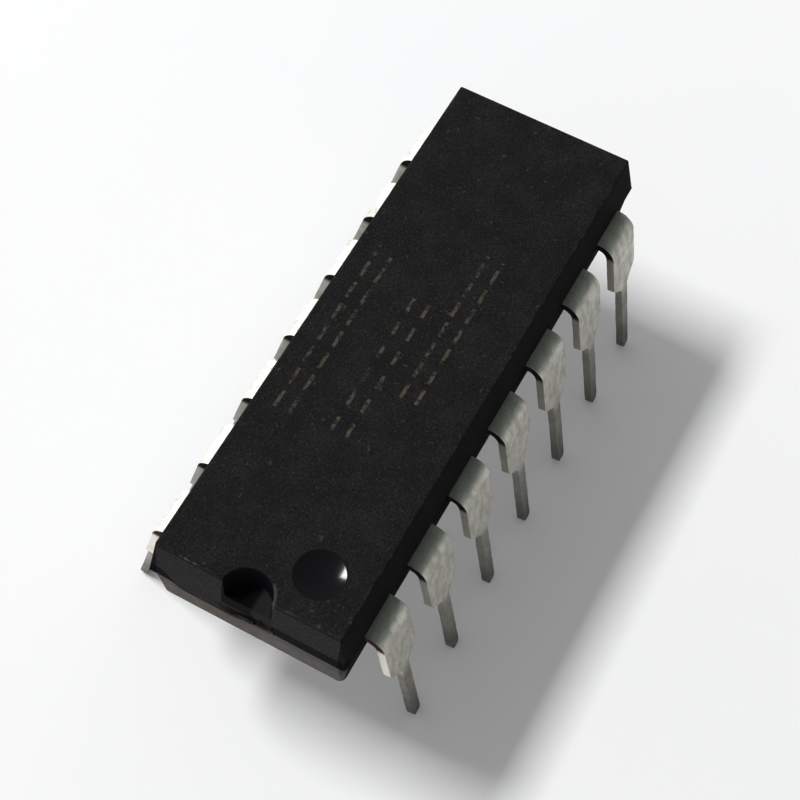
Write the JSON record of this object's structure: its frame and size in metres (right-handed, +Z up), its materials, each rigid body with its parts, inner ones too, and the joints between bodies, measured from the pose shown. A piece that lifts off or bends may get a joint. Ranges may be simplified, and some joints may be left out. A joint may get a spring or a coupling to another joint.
{
  "type": "dual in-line integrated circuit",
  "caption": "Plastic dual in-line integrated circuit standing on two rows of splayed metal leads, with a half-round end notch and a round pin-1 dimple.",
  "frame": {"origin": "on the plane of the lead tips, midway between the two rows of tips and under the middle of the body length; the body centre is 0.30 mm towards -Y because leads 8 to 14 splay more", "axes": "+X along the rows of leads, away from the notched pin-1 end; +Y towards the row of leads 8 to 14; +Z up through the top face"},
  "size_m": [0.019, 0.0102, 0.0076],
  "materials": {
    "body": "matt moulded epoxy, dark brown-grey",
    "leads": "rough solder-dipped metal",
    "leadframe": "bare copper alloy",
    "attach": "silver-filled bonding layer",
    "die": "polished silicon",
    "wires": "gold"
  },
  "bodies": {
    "root": {"body": "body", "lead_01": "leads", "lead_02": "leads", "lead_03": "leads", "lead_04": "leads", "lead_05": "leads", "lead_06": "leads", "lead_07": "leads", "lead_08": "leads", "lead_09": "leads", "lead_10": "leads", "lead_11": "leads", "lead_12": "leads", "lead_13": "leads", "lead_14": "leads", "die_pad": "leadframe", "die_attach": "attach", "die": "die", "bond_wire_01": "wires", "bond_wire_02": "wires", "bond_wire_03": "wires", "bond_wire_04": "wires", "bond_wire_05": "wires", "bond_wire_06": "wires", "bond_wire_07": "wires", "bond_wire_08": "wires", "bond_wire_09": "wires", "bond_wire_10": "wires", "bond_wire_11": "wires", "bond_wire_12": "wires", "bond_wire_13": "wires", "bond_wire_14": "wires"}
  },
  "joints": []
}
